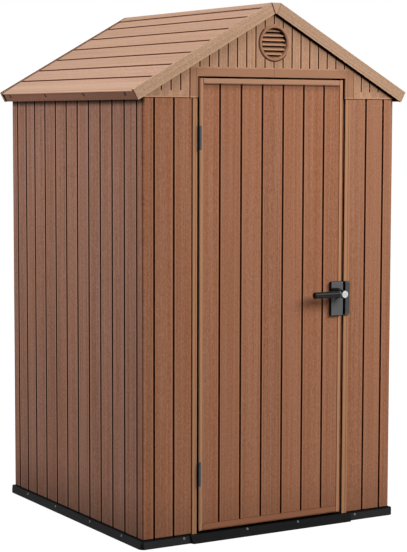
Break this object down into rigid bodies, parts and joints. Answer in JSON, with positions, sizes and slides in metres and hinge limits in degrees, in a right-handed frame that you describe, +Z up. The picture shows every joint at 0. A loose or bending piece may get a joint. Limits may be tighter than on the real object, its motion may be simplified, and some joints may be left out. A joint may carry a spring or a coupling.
{
  "type": "tool shed",
  "caption": "Walk-in apex tool shed of wood-grained resin panels with a black floor tray, louvred gables and a hinged door with a lever lock.",
  "frame": {"origin": "middle of the floor tray's underside, on the ground", "axes": "+X along the door front to its right, +Y from the door to the back, +Z up"},
  "size_m": [1.24, 1.233, 2.05],
  "materials": {
    "floor_black": "matt moulded black resin",
    "wall_planks": "wood-grained brown resin planks",
    "gable_planks": "wood-grained light brown resin planks",
    "vent_resin": "smooth light brown resin",
    "smooth_trim": "smooth brown resin trim",
    "roof_planks": "wood-grained pale tan resin planks",
    "roof_trim": "wood-grained tan resin trim",
    "ridge_steel": "galvanised steel",
    "hinge_black": "black plastic",
    "lock_black": "charcoal plastic",
    "lever_black": "satin black plastic",
    "cylinder_metal": "satin nickel"
  },
  "bodies": {
    "shed": {"floor_left": "floor_black", "floor_right": "floor_black", "threshold_sill": "floor_black", "corner_front_left": "wall_planks", "corner_front_right": "wall_planks", "corner_back_left": "wall_planks", "corner_back_right": "wall_planks", "wall_left": "wall_planks", "wall_right": "wall_planks", "wall_back": "wall_planks", "door_jamb_left": "smooth_trim", "door_jamb_right": "smooth_trim", "header_rail": "smooth_trim", "gable_front_left": "gable_planks", "gable_front_right": "gable_planks", "gable_back_left": "gable_planks", "gable_back_right": "gable_planks", "vent_front": "vent_resin", "vent_back": "vent_resin", "roof_left": "roof_planks", "roof_right": "roof_planks", "ridge_cap": "roof_trim", "ridge_end_front": "roof_trim", "ridge_end_back": "roof_trim", "barge_front_left": "roof_trim", "barge_front_right": "roof_trim", "barge_back_left": "roof_trim", "barge_back_right": "roof_trim", "eave_left": "roof_trim", "eave_right": "roof_trim", "ridge_beam": "ridge_steel", "hinge_top_frame": "hinge_black", "hinge_bottom_frame": "hinge_black", "lock_keeper": "lock_black"},
    "door": {"door_panel": "wall_planks", "door_stile_left": "smooth_trim", "door_stile_right": "smooth_trim", "door_top_rail": "smooth_trim", "door_bottom_rail": "smooth_trim", "hinge_top_door": "hinge_black", "hinge_bottom_door": "hinge_black", "lock_body": "lock_black"},
    "lever": {"lever_handle": "lever_black", "lock_cylinder": "cylinder_metal"}
  },
  "joints": [
    {"name": "door_hinge", "type": "hinge", "parent": "shed", "child": "door", "pos_m": [-0.332, -0.5845, 0.9], "axis": [0, 0, -1], "range_deg": [0, 110]},
    {"name": "lever_turn", "type": "hinge", "parent": "door", "child": "lever", "pos_m": [0.299, -0.62, 0.924], "axis": [0, -1, 0], "range_deg": [0, 45], "stiffness_Nm_per_rad": 0.6, "springref_deg": -28.65}
  ]
}
